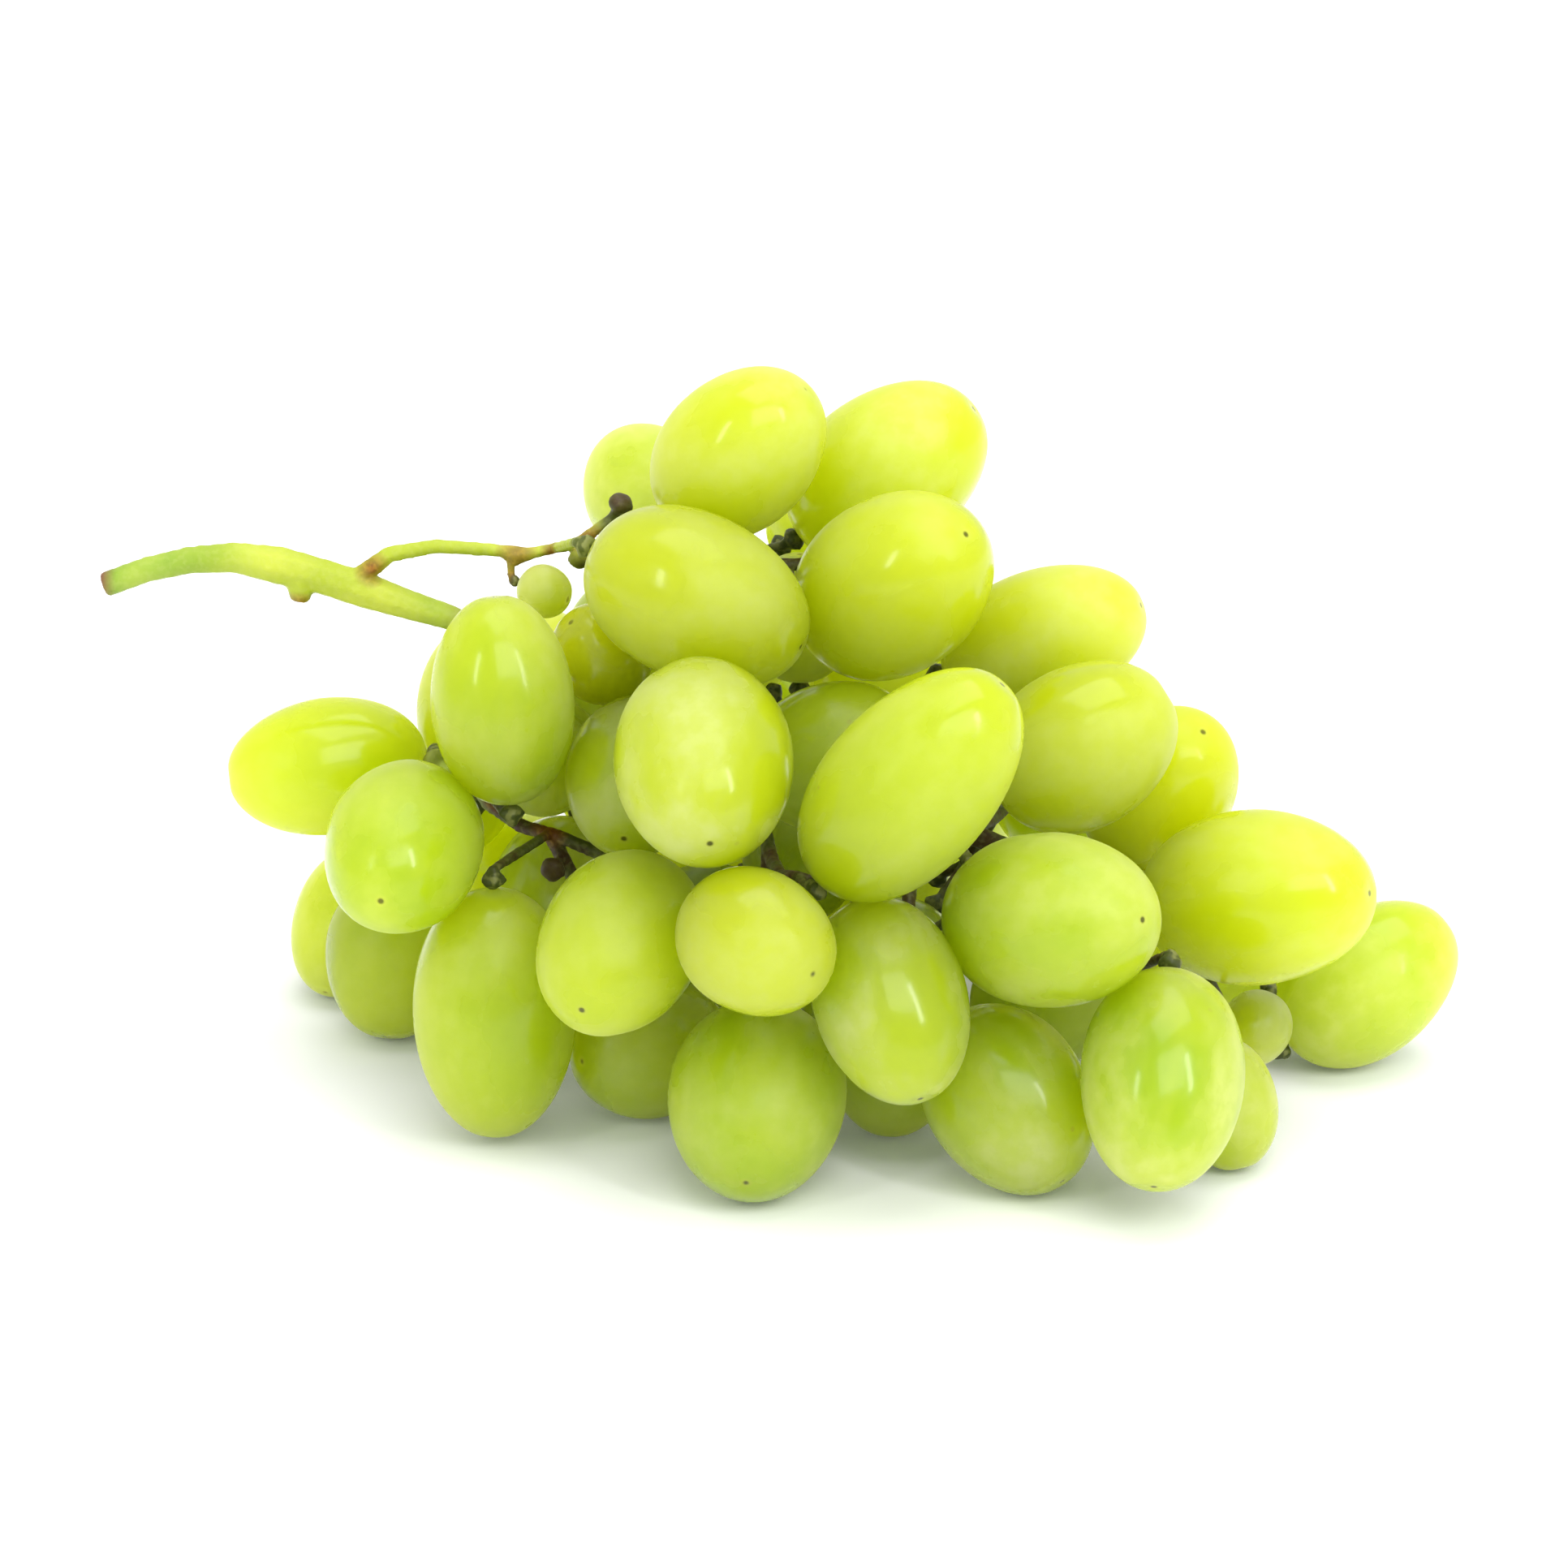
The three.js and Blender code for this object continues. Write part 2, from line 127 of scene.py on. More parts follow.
def add_attribute(mesh, name, kind, values):
    """Stores one value, or one vector, for each vertex."""
    field = "vector" if kind == "FLOAT_VECTOR" else "value"
    mesh.attributes.new(name, kind, "POINT").data.foreach_set(field, np.ravel(values).astype(float))


def berry_skin(name, stalk_end, scar_end, half_width, random):
    """A berry's skin, a surface of two parameters: t from 0 at the stalk to pi at the scar, and
    the turn round the axis. It lies -cos(t) half lengths along the axis from the middle, and
    sin(t) to a power half widths out from it, a little more towards the stalk. Slow waves over
    both parameters and a few shallow dents make it uneven, a dimple surrounds the scar, and a
    skin that would reach out of the bunch's box is drawn in towards its middle."""
    length = np.linalg.norm(scar_end - stalk_end) * SKIN_FIT
    along = (scar_end - stalk_end) / np.linalg.norm(scar_end - stalk_end)
    middle = (stalk_end + scar_end) / 2
    first, second = across_frame(along)
    share = np.linspace(0, 1, BERRY_ROWS + 1)[1:-1]
    crowded = share - ROW_CROWDING * np.sin(2 * math.pi * share) / (2 * math.pi)
    t = math.pi * crowded[:, None]
    turn = np.linspace(0, 2 * math.pi, BERRY_TURNS, endpoint=False)[None, :]
    waves = sum(
        random.uniform(*WAVE_HEIGHT)
        * np.cos(crests * turn + random.uniform(*ANY_TURN))
        * np.cos(slopes * t + random.uniform(*ANY_TURN))
        for crests, slopes in WAVES
    )
    dents = 0
    for _ in range(random.integers(*DENTS)):
        where_t, where_turn = random.uniform(*DENT_PLACE), random.uniform(*ANY_TURN)
        gap = np.angle(np.exp(1j * (turn - where_turn)))
        tall, wide = random.uniform(*DENT_TALL), random.uniform(*DENT_WIDE)
        dents = dents + random.uniform(*DENT_DEPTH) * np.exp(
            -(((t - where_t) / tall) ** 2) - (gap / wide) ** 2
        )
    out = half_width * SKIN_FIT * np.sin(t) ** BLUNTNESS * (1 + FULLNESS * np.cos(t))
    out = out * (1 + waves * np.sin(t) - dents)
    depth, width = SCAR_DIMPLE
    level = -np.cos(t) * length / 2 - depth * np.exp(-((out / width) ** 2)) * (t > math.pi / 2)
    points = middle + out[..., None] * (
        np.cos(turn)[..., None] * first + np.sin(turn)[..., None] * second
    )
    points = points + level[..., None] * along
    scar = middle + (length / 2 - depth) * along
    every = np.vstack([points.reshape(-1, 3), middle - length / 2 * along, scar])
    low, high = (every - middle).min(axis=0), (every - middle).max(axis=0)
    room = np.array(CAD_BOX) - middle + np.array([[EDGE], [-EDGE]])
    every = middle + (every - middle) * min(1, (room[0] / low).min(), (room[1] / high).min())
    mesh = grid_mesh(name, every[:-2].reshape(points.shape), every[-2], every[-1])
    own = (every - middle) @ np.stack([first, second, along], axis=1)
    add_attribute(mesh, "own_place", "FLOAT_VECTOR", own + random.uniform(-1, 1, 3))
    add_attribute(mesh, "from_scar", "FLOAT", np.linalg.norm(every - scar, axis=1) / MM)
    add_attribute(mesh, "from_stalk", "FLOAT", np.linalg.norm(every - stalk_end, axis=1) / MM)
    return mesh


def clearance(points, stalk_end, scar_end, half_width):
    """About how far each point is outside an oval berry: its level in the oval, less one, over
    the slope of that level."""
    half = (scar_end - stalk_end) / 2
    half_length = np.linalg.norm(half)
    off = points - (stalk_end + scar_end) / 2
    along = off @ half / half_length
    across_squared = np.maximum((off**2).sum(axis=1) - along**2, 0)
    level = np.sqrt((along / half_length) ** 2 + across_squared / half_width**2)
    slope = np.sqrt(along**2 / half_length**4 + across_squared / half_width**4)
    return (level - 1) * level / slope


def put(tree, socket, value):
    """Links a socket to another, or gives it a constant."""
    if isinstance(value, bpy.types.NodeSocket):
        tree.links.new(value, socket)
    else:
        socket.default_value = value


def shader(tree, kind, inputs, **settings):
    """A new shader node, with its settings, and its inputs by name or number."""
    node = tree.nodes.new("ShaderNode" + kind)
    for name, value in settings.items():
        setattr(node, name, value)
    for name, value in inputs.items():
        put(tree, node.inputs[name], value)
    return node


def attribute(tree, name, output="Fac"):
    """What add_attribute stored under a name."""
    return shader(tree, "Attribute", {}, attribute_name=name).outputs[output]


def between(tree, value, low, high, to_low=0.0, to_high=1.0):
    """The value carried smoothly from the span low..high to the span to_low..to_high."""
    inputs = {"Value": value, "From Min": low, "From Max": high,
              "To Min": to_low, "To Max": to_high}
    return shader(tree, "MapRange", inputs, interpolation_type="SMOOTHSTEP").outputs["Result"]


def blend(tree, share, first, second):
    """The colour that lies a share of the way from the first to the second."""
    node = shader(tree, "Mix", {"Factor": share}, data_type="RGBA")
    put(tree, node.inputs[6], first)
    put(tree, node.inputs[7], second)
    return node.outputs[2]


def times(tree, first, second):
    """The product of two values."""
    return shader(tree, "Math", {0: first, 1: second}, operation="MULTIPLY").outputs[0]


def stretch(tree, place, along):
    """A place whose third coordinate is scaled, so that a pattern on it grows long that way."""
    inputs = {"Vector": place, "Scale": (1.0, 1.0, along)}
    return shader(tree, "Mapping", inputs).outputs["Vector"]


def bump(tree, place, scale, detail, strength):
    """A normal roughened by fine noise that rises 0.3 mm at full strength."""
    noise = shader(tree, "TexNoise", {"Vector": place, "Scale": scale, "Detail": detail})
    inputs = {"Height": noise.outputs["Fac"], "Strength": strength, "Distance": 0.3 * MM}
    return shader(tree, "Bump", inputs).outputs["Normal"]


def make_mottling():
    """A group that gives soft patches: cloudy noise, stretched to a mask between two levels."""
    group = bpy.data.node_groups.new("mottling", "ShaderNodeTree")
    sockets = group.interface
    for name, kind in (("Place", "NodeSocketVector"), ("Scale", "NodeSocketFloat"),
                       ("Low", "NodeSocketFloat"), ("High", "NodeSocketFloat"),
                       ("Raggedness", "NodeSocketFloat")):
        sockets.new_socket(name, in_out="INPUT", socket_type=kind)
    sockets.new_socket("Mask", in_out="OUTPUT", socket_type="NodeSocketFloat")
    given = group.nodes.new("NodeGroupInput").outputs
    noise = shader(group, "TexNoise", {"Vector": given["Place"], "Scale": given["Scale"],
                                       "Detail": 3.0, "Roughness": given["Raggedness"]})
    mask = between(group, noise.outputs["Fac"], given["Low"], given["High"])
    group.links.new(mask, group.nodes.new("NodeGroupOutput").inputs["Mask"])
    return group


mottling = make_mottling()


def patches(tree, place, scale, low, high, raggedness=0.35):
    """A mask of soft patches from the mottling group."""
    node = tree.nodes.new("ShaderNodeGroup")
    node.node_tree = mottling
    for name, value in (("Place", place), ("Scale", scale), ("Low", low), ("High", high),
                        ("Raggedness", raggedness)):
        put(tree, node.inputs[name], value)
    return node.outputs["Mask"]


def new_material(name):
    """A material with its node tree and its Principled shader."""
    material = bpy.data.materials.new(name)
    material.use_nodes = True
    return material, material.node_tree, material.node_tree.nodes["Principled BSDF"]


GRAPE = {
    "green": (0.21, 0.335, 0.003, 1),
    "yellow": (0.37, 0.45, 0.002, 1),
    "deep_green_and_shade": (0.14, 0.23, 0.003, 1),
    "cloud": (0.37, 0.49, 0.010, 1),
    "streak": (0.42, 0.52, 0.03, 1),
    "bloom_and_sheen": (0.48, 0.575, 0.155, 1),
    "speck": (0.25, 0.22, 0.04, 1),
    "stalk end": (0.30, 0.42, 0.06, 1),
    "halo": (0.40, 0.42, 0.06, 1),
    "scar": (0.020, 0.016, 0.004, 1),
}
GRAPE_FINISH = {
    "Subsurface Weight": 1.0,
    "Subsurface Radius": (1.0, 1.0, 0.30),  # red and green light go deeper than blue
    "Subsurface Scale": 0.12,  # metres, far more than a berry, so that light fills all of it
    "IOR": 1.36,
    "Specular IOR Level": 0.4,
    "Coat Roughness": 0.11,
    "Coat IOR": 1.45,
}


def make_berry_material():
    """Translucent flesh under skin, greener or yellower from berry to berry, and a darker green
    as painted shade on berries deep inside the bunch. A milky waxy bloom lies on it, painted paler
    still as a sheen; it is taken off in glossy patches, and where berries press on each other and
    up to 6 mm round, as painted shade between them. There are pale clouds and streaks, brown
    specks, a paler stalk end, and the scar in its halo."""
    material, tree, skin = new_material("grape_skin")
    place = attribute(tree, "own_place", "Vector")
    ripeness_and_shade = attribute(tree, "ripeness_and_shade")
    body = blend(tree, between(tree, ripeness_and_shade, 0.0, 1.0), GRAPE["green"], GRAPE["yellow"])
    # Below 0 a berry turns a deep green: its own green on some, painted shade on those deep inside.
    body = blend(tree, between(tree, ripeness_and_shade, 0.0, -1.0), body, GRAPE["deep_green_and_shade"])
    clouds = times(tree, patches(tree, place, scale=60.0, low=0.32, high=0.68), 0.40)
    clouds = times(tree, clouds, between(tree, ripeness_and_shade, -1.0, 0.0, to_low=0.2))
    body = blend(tree, clouds, body, GRAPE["cloud"])
    streaks = patches(tree, stretch(tree, place, 0.2), scale=260.0, low=0.5, high=0.75)
    body = blend(tree, times(tree, streaks, 0.10), body, GRAPE["streak"])

    # The bloom is a real waxy film, painted paler still as a sheen of light, more on milkier
    # berries.
    film = patches(tree, stretch(tree, place, 0.6), 90.0, low=0.34, high=0.62, raggedness=0.48)
    haze = patches(tree, place, scale=380.0, low=0.25, high=0.75, raggedness=0.5)
    film = times(tree, film, between(tree, haze, 0.0, 1.0, to_low=0.6))
    # Painted shade: the bloom fades within 6 mm of a neighbour, rubbed off where they press and
    # shaded between them.
    open_unshaded_skin = between(tree, attribute(tree, "room"), 0.4, 6.0)  # millimetres to its neighbour
    bloom_and_sheen = times(tree, film, open_unshaded_skin)
    milky = between(tree, attribute(tree, "milkiness"), 0.0, 1.0, to_low=0.12, to_high=0.70)
    body = blend(tree, times(tree, bloom_and_sheen, milky), body, GRAPE["bloom_and_sheen"])

    cells = shader(tree, "TexVoronoi", {"Vector": place, "Scale": 210.0}).outputs["Distance"]
    few = patches(tree, place, scale=60.0, low=0.56, high=0.66)
    specks = times(tree, between(tree, cells, 0.10, 0.05), few)
    body = blend(tree, times(tree, specks, 0.4), body, GRAPE["speck"])
    near_stalk = between(tree, attribute(tree, "from_stalk"), 4.2, 1.6)  # millimetres
    body = blend(tree, times(tree, near_stalk, 0.5), body, GRAPE["stalk end"])
    from_scar = attribute(tree, "from_scar")  # millimetres
    body = blend(tree, times(tree, between(tree, from_scar, 1.1, 0.4), 0.3), body, GRAPE["halo"])
    body = blend(tree, times(tree, between(tree, from_scar, 0.60, 0.22), 0.95), body, GRAPE["scar"])

    put(tree, skin.inputs["Base Color"], body)
    rough = between(tree, bloom_and_sheen, 0.0, 1.0, to_low=0.22, to_high=0.46)
    put(tree, skin.inputs["Roughness"], rough)
    glossy = between(tree, bloom_and_sheen, 0.0, 0.5, to_low=0.38, to_high=0.0)
    put(tree, skin.inputs["Coat Weight"], glossy)
    put(tree, skin.inputs["Normal"], bump(tree, place, scale=900.0, detail=2.0, strength=0.05))
    for name, value in GRAPE_FINISH.items():
        skin.inputs[name].default_value = value
    return material


# Each berry's ripeness, from a deep green -1 over a green 0 to a yellow 1, and how milky with
# bloom it is, from 0 to 1. Below 0 the green is partly the berry's own and partly painted shade:
# the berries deep inside the bunch are darkened as if shaded. They go by lateral, in the order of
# the berries' numbers.
SKINS = {
    "wing": ((-0.6, 0.4), (0.8, 0.4), (0.7, 0.5), (-0.3, 0.6), (0.6, 0.6), (0.8, 0.3), (0.3, 0.3)),
    "left": (
        (0.35, 0.1), (-0.5, 0.3), (0.2, 0.5), (0.2, 0.5), (0.3, 0.2), (-0.2, 0.4), (-0.5, 0.1),
    ),
    "front_left": (
        (0.3, 0.3), (0.1, 0.9), (0.45, 0.3), (0.1, 0.3), (0.35, 0.5), (0.3, 0.5), (0.8, 0.0),
    ),
    "front": ((0.7, 1.0), (0.9, 0.4), (0.0, 0.4), (0.5, 0.3), (0.3, 1.0), (-0.4, 0.2)),
    "front_right": ((0.2, 0.5), (0.75, 0.4), (0.1, 0.8), (0.0, 0.3), (1.0, 0.5)),
    "right": ((0.8, 0.4), (1.0, 0.1), (0.0, 1.0), (-0.3, 0.2)),
    "tip": ((-0.1, 0.6), (-0.1, 0.6), (0.0, 0.7), (-0.3, 0.3), (0.2, 0.3)),
    "back_left": ((0.2, 0.1), (-0.5, 0.0), (0.3, 0.5), (0.4, 0.6), (0.5, 0.4)),
    "back": (
        (-1.0, 0.0), (0.2, 0.3), (-0.3, 0.5), (-0.2, 0.4), (0.1, 0.3), (-0.3, 0.4), (-1.0, 0.0),
        (-0.5, 0.1),
    ),
    "back_right": ((-1.0, 0.0), (0.0, 0.2), (0.2, 0.3), (-0.8, 0.4), (0.2, 0.4)),
}
FIRST_SEED = 1000
MOST_ROOM = 50  # millimetres, as far as the room round a berry is told apart

stalk_corners = vertex_vectors(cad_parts["stalk"].data)
berry_names = sorted(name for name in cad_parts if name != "stalk")
measures = {node: berry_measures(node, stalk_corners) for node in berry_names}
berry_material = make_berry_material()
for number, node in enumerate(berry_names):
    random = np.random.default_rng(FIRST_SEED + number)
    mesh = berry_skin(node + "_skin", *measures[node], random)
    lateral, place_on_it = node.split("_berry_")
    for name, value in zip(("ripeness_and_shade", "milkiness"), SKINS[lateral][int(place_on_it) - 1]):
        add_attribute(mesh, name, "FLOAT", np.full(len(mesh.vertices), value))
    places = vertex_vectors(mesh)
    others = [measures[other] for other in berry_names if other != node]
    room = np.min([clearance(places, *other) for other in others], axis=0)
    add_attribute(mesh, "room", "FLOAT", np.clip(room / MM, 0, MOST_ROOM))
    mesh.materials.append(berry_material)
    berry = bpy.data.objects.new(node + "_skin", mesh)
    bpy.context.scene.collection.objects.link(berry)
    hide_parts(node)
    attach(berry, "root")

# ---------------------------------------------------------------------------------------------
# Stalk
# The stalk grew as one piece: a smooth green peduncle, brown where it was cut and rusty at its
# joints, dark brown thin laterals inside, darkened further by painted shade, and a warty torus at
# the end of each pedicel.
# ---------------------------------------------------------------------------------------------
STALK_VOXEL = 0.33 * MM
WELD_REACH = 0.001 * MM
FATTENING = 0.14 * MM  # makes up for what the rounding takes off
WART_HEIGHT = (0.05 * MM, 0.16 * MM)  # everywhere, and what a torus adds to it
WARTS = (  # the direction of a wave over the bark, its length in millimetres, and its start
    (np.array([0.6, 0.5, 0.62]), 1.3, 0.4),
    (np.array([-0.55, 0.7, 0.45]), 1.1, 2.1),
    (np.array([0.7, -0.4, 0.58]), 1.5, 4.0),
)
TORUS_REACH = 2.6 * MM  # the torus's length, from the berry
SEAT_REACH = 1.6 * MM  # the length of the part of it that is pressed on
SEATING = 0.6 * MM  # how far it is pressed onto the berry
FULL_BERRY = 8 * MM  # half the width of a berry that has a torus of full size

# Places on the stalk, in millimetres from the middle of the bunch's footprint, and the reach of
# the rust round each.
RUSTED = (
    ((-54.9, 2.6, 69.6), 2.6),  # the crotch of the fork
    ((-35.8, 4, 71.0), 3.2),
    ((-35.8, 3, 68.0), 3.4),
    ((-31.0, 4, 71.4), 2.0),
    ((-26.5, 4.6, 73.0), 2.6),
    ((-31.5, -8, 37.0), 3.0),
    ((-38.5, -4, 40.0), 2.5),
    ((-64.7, 2.6, 64.6), 2.2),  # the tendril's scar
)
# The ends of the pedicels that have lost their berries.
BARE_ENDS = (
    (-27.2, 3.5, 70.3),
    (-21.8, 5.6, 78.2),
    (-47.9, 4, 42.5),
    (-31.1, -12, 32.5),
    (1.6, -37, 36.5),
    (24.1, -29, 38.5),
)
BARE_REACH = 2.3
SWOLLEN_REACH = 2.8
SWELLING = 0.45 * MM
# Where the colours change, in the same millimetres.
CUT_DEPTH = (0.3, 2.2)  # behind the cut
AMONG_BERRIES = (-46, -39)  # to the right, where the peduncle runs in
BELOW_WING = (64, 67)  # upwards
WING_TWIGS = (-26.5, -24)  # to the right
YELLOWING = (-82, -68)  # to the right
PAST_FORK = (-54, -46)  # to the right
BELOW_WING_ARM = (67, 69)  # upwards
MASK_POWER = 0.7  # under 1, a mask round a place stays strong up to its edge


def grown_stalk():
    """The stalk's solid with its corners joined, remeshed finely, and rounded."""
    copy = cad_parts["stalk"].copy()
    copy.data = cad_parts["stalk"].data.copy()
    copy.parent = None
    bpy.context.scene.collection.objects.link(copy)
    weld = copy.modifiers.new("weld", "WELD")
    weld.merge_threshold = WELD_REACH
    remesh = copy.modifiers.new("remesh", "REMESH")
    remesh.mode = "VOXEL"
    remesh.voxel_size = STALK_VOXEL
    smooth = copy.modifiers.new("smooth", "SMOOTH")
    smooth.factor = 0.5
    smooth.iterations = 4
    depsgraph = bpy.context.evaluated_depsgraph_get()
    rounded = bpy.data.meshes.new_from_object(copy.evaluated_get(depsgraph))
    bpy.data.objects.remove(copy)
    rounded.name = "stalk_bark"
    return rounded


def nearness(places, centre, reach):
    """1 at a place, falling smoothly to 0 at a distance from it. Both are in millimetres."""
    off = np.linalg.norm(places / MM - np.array(centre), axis=1) / reach
    return np.clip(1 - off, 0, 1) ** MASK_POWER


def rise(values, low, high):
    """0 below the first level, 1 above the second, and evenly between them."""
    return np.clip((values - low) / (high - low), 0, 1)


stalk_mesh = grown_stalk()
bark = vertex_vectors(stalk_mesh)
normals = vertex_vectors(stalk_mesh, "normal")

# The nearest berry to each point of the stalk, and how far off its stalk end is: a smaller berry
# has a smaller torus, so distances from it count for more.
feet = np.array([stalk_end for stalk_end, _, _ in measures.values()])
ways = np.array([(far - near) / np.linalg.norm(far - near) for near, far, _ in measures.values()])
smallness = np.array([min(1, half_width / FULL_BERRY) for _, _, half_width in measures.values()])
distance = np.linalg.norm(bark[:, None] - feet[None], axis=2) / smallness
nearest = distance.argmin(axis=1)
from_berry = distance.min(axis=1)

# Each point moves out along its normal with the warts, and each torus onto its berry.
seated = np.clip(1 - from_berry / SEAT_REACH, 0, 1)[:, None]
on_torus = np.clip(1 - from_berry / TORUS_REACH, 0, 1)
warts = sum(
    np.sin(bark @ direction * 2 * math.pi / (spacing * MM) + start)
    for direction, spacing, start in WARTS
) / len(WARTS)
outwards = FATTENING + warts * (WART_HEIGHT[0] + WART_HEIGHT[1] * on_torus)
bark = bark + normals * outwards[:, None] + ways[nearest] * seated * SEATING

# Masks for the colours. Bark is inside the bunch below the wing, from where the peduncle runs in
# among the berries, and at any height beyond the wing's twigs. It turns yellow from the cut end
# to the fork, and past the fork the peduncle is half as yellow.
x, z = bark[:, 0] / MM, bark[:, 2] / MM
past_fork = rise(x, *PAST_FORK) * (1 - rise(z, *BELOW_WING_ARM))
run_in = rise(x, *AMONG_BERRIES) * (1 - rise(z, *BELOW_WING))
masks = {
    "from_berry": from_berry / MM,
    "cut_end": 1 - rise(x - x.min(), *CUT_DEPTH),
    "rust": np.max([nearness(bark, place, reach) for place, reach in RUSTED], axis=0),
    "bare": np.max([nearness(bark, place, BARE_REACH) for place in BARE_ENDS], axis=0),
    "inside": np.maximum(run_in, rise(x, *WING_TWIGS)),
    "yellowed": rise(x, *YELLOWING) * (1 - 0.5 * past_fork),
}
for name, mask in masks.items():
    add_attribute(stalk_mesh, name, "FLOAT", mask)

# The bare ends are swollen, and everything stays inside the box round the bunch.
swollen = np.max([nearness(bark, place, SWOLLEN_REACH) for place in BARE_ENDS], axis=0)
bark = bark + normals * (swollen * SWELLING)[:, None]
bark = np.clip(bark, np.array(CAD_BOX[0]) + EDGE, np.array(CAD_BOX[1]) - EDGE)
stalk_mesh.vertices.foreach_set("co", bark.ravel())

BARK = {  # pairs of colours are mottled
    "fresh": ((0.22, 0.36, 0.030, 1), (0.36, 0.48, 0.055, 1)),
    "golden": ((0.40, 0.48, 0.028, 1), (0.52, 0.58, 0.055, 1)),
    "inner": ((0.075, 0.085, 0.012, 1), (0.060, 0.028, 0.010, 1)),
    "rusty": ((0.19, 0.036, 0.008, 1), (0.32, 0.12, 0.012, 1)),
    "torus": ((0.05, 0.065, 0.012, 1), (0.20, 0.21, 0.06, 1)),
    "pale dots": (0.55, 0.58, 0.20, 1),
    "bare": (0.06, 0.035, 0.012, 1),
    "cut": (0.22, 0.10, 0.045, 1),
}
BARK_FINISH = {
    "Subsurface Weight": 0.25,
    "Subsurface Radius": (1.0, 1.1, 0.4),
    "Subsurface Scale": 0.8 * MM,
    "Specular IOR Level": 0.3,
}


def make_stalk_material():
    """Green bark that turns yellow towards the fork and dark brown inside the bunch, darkened
    there further by painted shade, rusty at its joints, brown at the cut, and darkest where a berry
    has come off."""
    material, tree, bark_shader = new_material("grape_stalk")
    place = shader(tree, "TexCoord", {}).outputs["Object"]
    soft = patches(tree, place, scale=120.0, low=0.35, high=0.7)
    fresh = blend(tree, soft, *BARK["fresh"])
    golden = blend(tree, soft, *BARK["golden"])
    body = blend(tree, attribute(tree, "yellowed"), fresh, golden)
    # Near-black inside the bunch: the laterals' own brown, darkened further as painted shade.
    inner = blend(tree, patches(tree, place, scale=260.0, low=0.4, high=0.65), *BARK["inner"])
    body = blend(tree, attribute(tree, "inside"), body, inner)
    fine = patches(tree, place, scale=1400.0, low=0.45, high=0.65)
    body = blend(tree, times(tree, fine, 0.12), body, BARK["pale dots"])
    body = blend(tree, attribute(tree, "rust"), body, blend(tree, fine, *BARK["rusty"]))
    torus = blend(tree, patches(tree, place, scale=900.0, low=0.45, high=0.62), *BARK["torus"])
    near_berry = between(tree, attribute(tree, "from_berry"), 4.2, 2.0)  # millimetres
    body = blend(tree, times(tree, near_berry, 0.9), body, torus)
    body = blend(tree, attribute(tree, "bare"), body, BARK["bare"])
    body = blend(tree, attribute(tree, "cut_end"), body, BARK["cut"])
    put(tree, bark_shader.inputs["Base Color"], body)
    rough = between(tree, fine, 0.0, 1.0, to_low=0.45, to_high=0.6)
    put(tree, bark_shader.inputs["Roughness"], rough)
    grain = bump(tree, place, scale=1600.0, detail=3.0, strength=0.25)
    put(tree, bark_shader.inputs["Normal"], grain)
    for name, value in BARK_FINISH.items():
        bark_shader.inputs[name].default_value = value
    return material


stalk_mesh.materials.clear()
stalk_mesh.materials.append(make_stalk_material())
stalk_mesh.polygons.foreach_set("use_smooth", np.ones(len(stalk_mesh.polygons), bool))
stalk_piece = bpy.data.objects.new("stalk_bark", stalk_mesh)
bpy.context.scene.collection.objects.link(stalk_piece)
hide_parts("stalk")
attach(stalk_piece, "root")

# ---------------------------------------------------------------------------------------------
# Studio
# A pale floor that runs off to white, a white room, and soft lights above and to both sides.
# The camera has a long lens and looks down on the bunch by twenty degrees.
# ---------------------------------------------------------------------------------------------
FLOOR_REACH = 40  # metres each way, so that its edge is never seen
FLOOR_COLOUR = (0.95, 0.95, 0.95, 1)
FLOOR_ROUGHNESS = 0.7
FLOOR_GLOW = 0.06  # a little light of its own keeps it white round the bunch
WHITE = (1, 1, 1, 1)
ROOM_STRENGTH = 0.86
SOFTBOXES = (  # name, place, size and power in watts
    ("top_light", (0.15, 0.10, 2.7), (2.1, 2.1), 35.0),
    ("key_light", (0.6, -2.0, 2.1), (1.8, 1.5), 29.0),
    ("right_strip", (1.5, -1.5, 1.5), (0.25, 1.2), 14.0),
    ("left_strip", (-1.6, -1.7, 1.4), (0.25, 1.0), 8.0),
)
LIT_PLACE = (0, 0, 0.04)  # what the lights look at
TARGET = np.array([-0.00044, -0.02103, 0.048])  # what the camera looks at
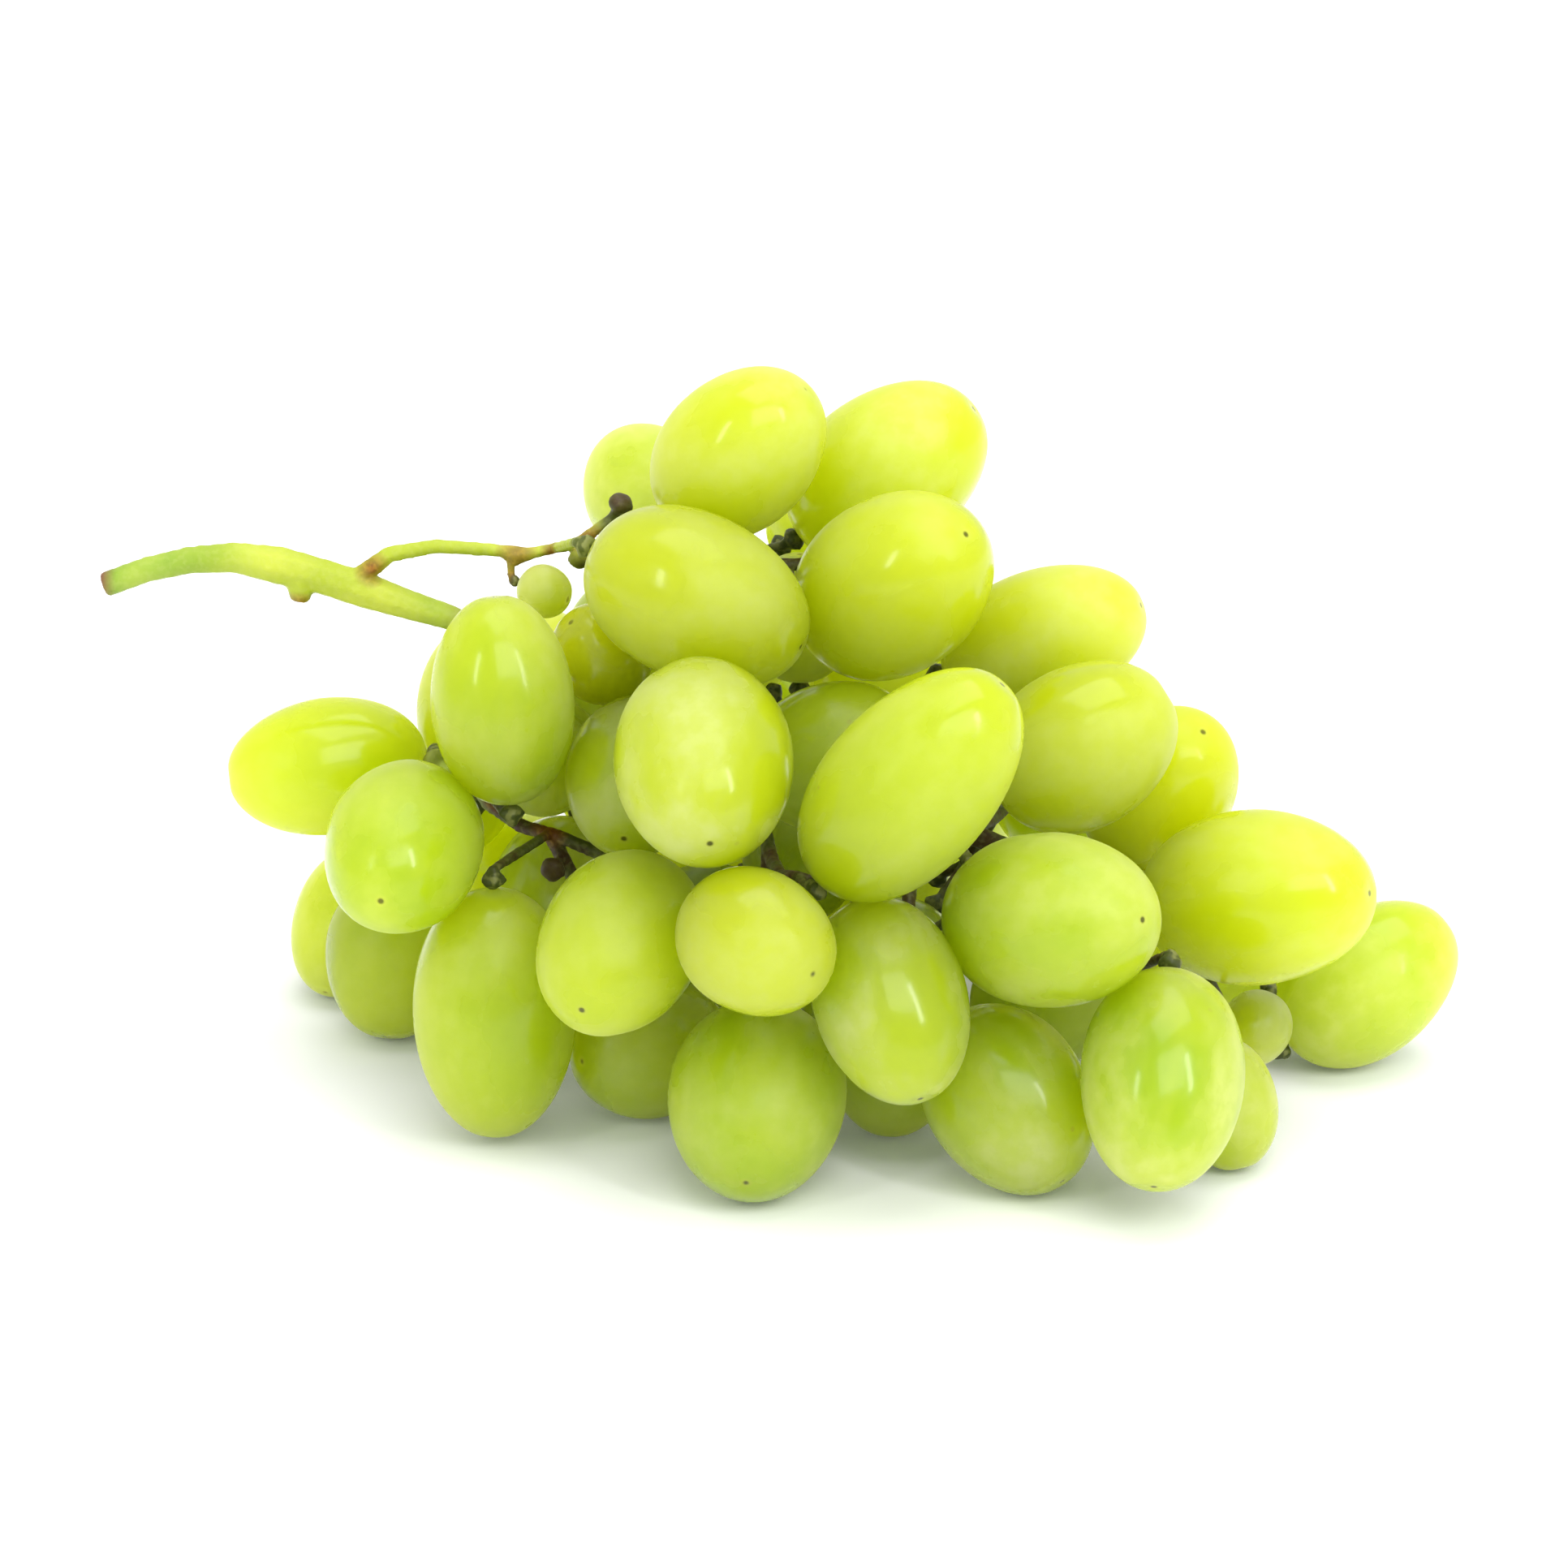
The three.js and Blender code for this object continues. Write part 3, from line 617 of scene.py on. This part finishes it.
DISTANCE = 0.70  # metres from there to the camera
ELEVATION = math.radians(20)
LENS, FILM_WIDTH = 124.2, 36  # millimetres


def add_aimed(name, data, place, target):
    """Adds a light or camera at a place, turned to look at a target."""
    thing = bpy.data.objects.new(name, data)
    bpy.context.scene.collection.objects.link(thing)
    thing.location = place
    thing.rotation_euler = (Vector(target) - Vector(place)).to_track_quat("-Z", "Y").to_euler()
    return thing


floor_mesh = bpy.data.meshes.new("floor")
floor_corners = FLOOR_REACH * np.array([(-1, -1, 0), (1, -1, 0), (1, 1, 0), (-1, 1, 0)])
floor_mesh.from_pydata(floor_corners, [], [(0, 1, 2, 3)])
floor_material, floor_tree, floor_shader = new_material("pale_floor")
floor_shader.inputs["Base Color"].default_value = FLOOR_COLOUR
floor_shader.inputs["Roughness"].default_value = FLOOR_ROUGHNESS
floor_shader.inputs["Emission Color"].default_value = WHITE
floor_shader.inputs["Emission Strength"].default_value = FLOOR_GLOW
floor_mesh.materials.append(floor_material)
floor = bpy.data.objects.new("floor", floor_mesh)
bpy.context.scene.collection.objects.link(floor)
floor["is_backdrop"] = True

world = bpy.data.worlds.new("room")
bpy.context.scene.world = world
world.use_nodes = True
background = world.node_tree.nodes["Background"]
background.inputs["Color"].default_value = WHITE
background.inputs["Strength"].default_value = ROOM_STRENGTH

for name, place, size, power in SOFTBOXES:
    lamp = bpy.data.lights.new(name, "AREA")
    lamp.shape = "RECTANGLE"
    lamp.size, lamp.size_y = size
    lamp.energy = power
    add_aimed(name, lamp, place, LIT_PLACE)

camera_data = bpy.data.cameras.new("camera")
camera_data.lens = LENS
camera_data.sensor_width = FILM_WIDTH
back_off = DISTANCE * np.array([0, -math.cos(ELEVATION), math.sin(ELEVATION)])
bpy.context.scene.camera = add_aimed("camera", camera_data, TARGET + back_off, TARGET)
bpy.context.scene.view_settings.view_transform = "Standard"

boxes = {"cad": CAD_BOX, "visual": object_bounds()}
boxes = {name: [list(map(float, corner)) for corner in box] for name, box in boxes.items()}
